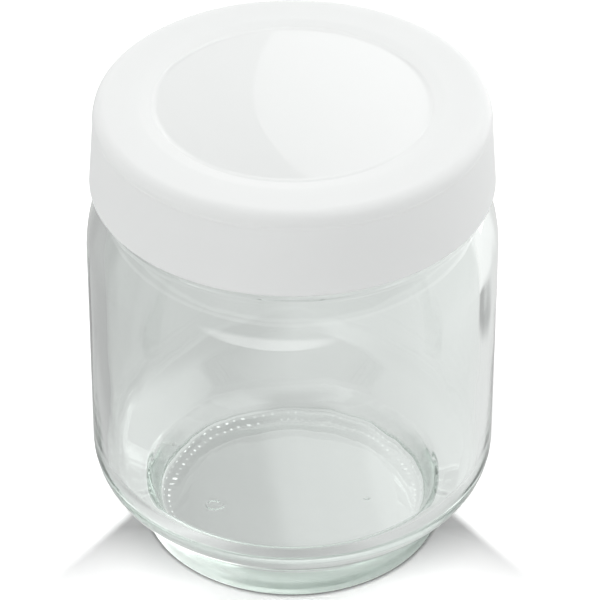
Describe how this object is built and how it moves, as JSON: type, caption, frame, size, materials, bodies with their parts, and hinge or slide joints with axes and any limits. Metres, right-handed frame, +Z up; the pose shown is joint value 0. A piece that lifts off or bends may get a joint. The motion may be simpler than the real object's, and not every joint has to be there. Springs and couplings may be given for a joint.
{
  "type": "yogurt maker jar",
  "caption": "Clear glass yogurt jar with a rounded shoulder, sloped heel and narrower foot, closed by a smooth white push-on plastic lid with a sunk panel.",
  "frame": {"origin": "middle of the foot, on the surface that the jar stands on", "axes": "+Z up along the axis of the jar, +X to the right and +Y away from the viewer in the picture's view"},
  "size_m": [0.068, 0.068, 0.0829],
  "materials": {
    "jar_glass": "clear soda-lime glass with a faint green tint, fire polished",
    "lid_plastic": "white moulded polypropylene, semi-gloss"
  },
  "bodies": {
    "jar": {"jar": "jar_glass"},
    "lid": {"lid": "lid_plastic"}
  },
  "joints": [
    {"name": "lid_lift", "type": "slide", "parent": "jar", "child": "lid", "axis": [0, 0, 1], "range_m": [0, 0.03]}
  ]
}
